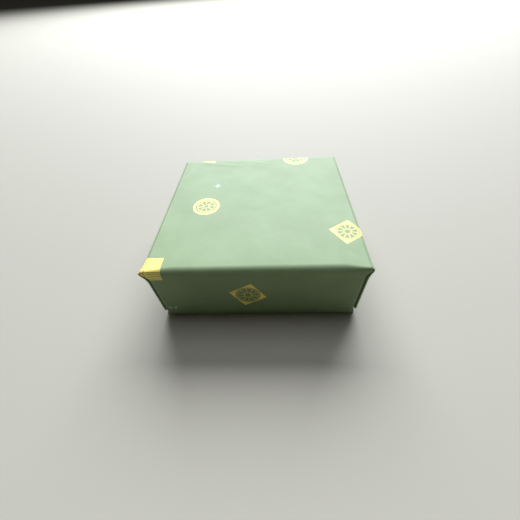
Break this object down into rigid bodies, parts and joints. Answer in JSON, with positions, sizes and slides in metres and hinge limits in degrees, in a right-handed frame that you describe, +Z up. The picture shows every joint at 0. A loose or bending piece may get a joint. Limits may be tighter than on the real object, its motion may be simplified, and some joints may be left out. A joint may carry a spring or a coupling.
{
  "type": "gift-wrapped box of rosin",
  "caption": "Square presentation box in folded sage paper, holding a rosin cake in a round cup that a ribbon lifts out of a card insert.",
  "frame": {"origin": "middle of the underside, on the surface the box rests on", "axes": "+Z up, -Y towards the front where the top panel's hinge fold is, +X towards the right end"},
  "size_m": [0.09, 0.0882, 0.0323],
  "materials": {
    "wrap_paper": "sage green, fine diagonal emboss, gold print",
    "grey_board": "dark lined grey board",
    "cream_card": "matt laminated card",
    "stay_paper": "brown kraft paper",
    "clear_tape": "clear double-sided film",
    "gold_ribbon": "old gold grosgrain",
    "spun_aluminium": "fine turned satin",
    "amber_rosin": "polished translucent amber"
  },
  "bodies": {
    "box": {"wrap_bottom_panel": "wrap_paper", "wrap_front_panel": "wrap_paper", "wrap_back_panel": "wrap_paper", "carton_floor_board": "grey_board", "carton_front_board": "grey_board", "carton_back_board": "grey_board", "carton_right_board": "grey_board", "carton_left_board": "grey_board", "lid_hinge_strip": "stay_paper", "front_left_corner_stay": "stay_paper", "front_right_corner_stay": "stay_paper", "back_left_corner_stay": "stay_paper", "back_right_corner_stay": "stay_paper", "insert_base": "cream_card", "insert_ring": "cream_card"},
    "wrap_top": {"wrap_top_panel": "wrap_paper"},
    "closing_flap": {"wrap_closing_flap": "wrap_paper", "back_tape": "clear_tape"},
    "right_flap": {"right_top_flap": "wrap_paper", "right_end_tape": "clear_tape"},
    "left_flap": {"left_top_flap": "wrap_paper", "left_end_tape": "clear_tape"},
    "right_under_flap": {"right_bottom_flap": "wrap_paper"},
    "left_under_flap": {"left_bottom_flap": "wrap_paper"},
    "right_front_fold": {"right_front_tuck": "wrap_paper"},
    "right_back_fold": {"right_back_tuck": "wrap_paper"},
    "left_front_fold": {"left_front_tuck": "wrap_paper"},
    "left_back_fold": {"left_back_tuck": "wrap_paper"},
    "carton_lid": {"carton_lid_board": "grey_board", "carton_lid_liner": "cream_card"},
    "ribbon_lift": {"lift_ribbon": "gold_ribbon"},
    "rosin": {"rosin_cup": "spun_aluminium", "rosin_cake": "amber_rosin"}
  },
  "joints": [
    {"name": "wrap_top_opens", "type": "hinge", "parent": "box", "child": "wrap_top", "pos_m": [0, -0.04405, 0.0323], "axis": [1, 0, 0], "range_deg": [0, 110]},
    {"name": "closing_flap_opens", "type": "hinge", "parent": "wrap_top", "child": "closing_flap", "pos_m": [0, 0.04405, 0.0323], "axis": [1, 0, 0], "range_deg": [0, 180]},
    {"name": "right_flap_opens", "type": "hinge", "parent": "wrap_top", "child": "right_flap", "pos_m": [0.045, 0, 0.0323], "axis": [0, -1, 0], "range_deg": [0, 180]},
    {"name": "left_flap_opens", "type": "hinge", "parent": "wrap_top", "child": "left_flap", "pos_m": [-0.045, 0, 0.0323], "axis": [0, 1, 0], "range_deg": [0, 180]},
    {"name": "right_under_flap_opens", "type": "hinge", "parent": "box", "child": "right_under_flap", "pos_m": [0.0439, 0, 0], "axis": [0, 1, 0], "range_deg": [0, 90]},
    {"name": "left_under_flap_opens", "type": "hinge", "parent": "box", "child": "left_under_flap", "pos_m": [-0.0439, 0, 0], "axis": [0, -1, 0], "range_deg": [0, 90]},
    {"name": "right_front_fold_opens", "type": "hinge", "parent": "box", "child": "right_front_fold", "pos_m": [0.04325, -0.04405, 0], "axis": [0, 0, -1], "range_deg": [0, 72]},
    {"name": "right_back_fold_opens", "type": "hinge", "parent": "box", "child": "right_back_fold", "pos_m": [0.04325, 0.04295, 0], "axis": [0, 0, 1], "range_deg": [0, 72]},
    {"name": "left_front_fold_opens", "type": "hinge", "parent": "box", "child": "left_front_fold", "pos_m": [-0.04325, -0.04405, 0], "axis": [0, 0, 1], "range_deg": [0, 72]},
    {"name": "left_back_fold_opens", "type": "hinge", "parent": "box", "child": "left_back_fold", "pos_m": [-0.04325, 0.04295, 0], "axis": [0, 0, -1], "range_deg": [0, 72]},
    {"name": "lid_opens", "type": "hinge", "parent": "box", "child": "carton_lid", "pos_m": [0, -0.0434, 0.03165], "axis": [1, 0, 0], "range_deg": [0, 99]},
    {"name": "ribbon_lifts", "type": "slide", "parent": "box", "child": "ribbon_lift", "axis": [0, 0, 1], "range_m": [0, 0.0241]},
    {"name": "cup_turns", "type": "hinge", "parent": "ribbon_lift", "child": "rosin", "pos_m": [0, -0.00055, 0], "axis": [0, 0, 1], "continuous": true}
  ],
  "couplings": [
    {"joint": "lid_opens", "follows": "wrap_top_opens", "ratio": 0.9},
    {"joint": "ribbon_lifts", "follows": "wrap_top_opens", "m_per_rad": 0.0125},
    {"joint": "right_under_flap_opens", "follows": "right_flap_opens", "ratio": 0.5},
    {"joint": "right_front_fold_opens", "follows": "right_flap_opens", "ratio": 0.4},
    {"joint": "right_back_fold_opens", "follows": "right_flap_opens", "ratio": 0.4},
    {"joint": "left_under_flap_opens", "follows": "left_flap_opens", "ratio": 0.5},
    {"joint": "left_front_fold_opens", "follows": "left_flap_opens", "ratio": 0.4},
    {"joint": "left_back_fold_opens", "follows": "left_flap_opens", "ratio": 0.4}
  ]
}
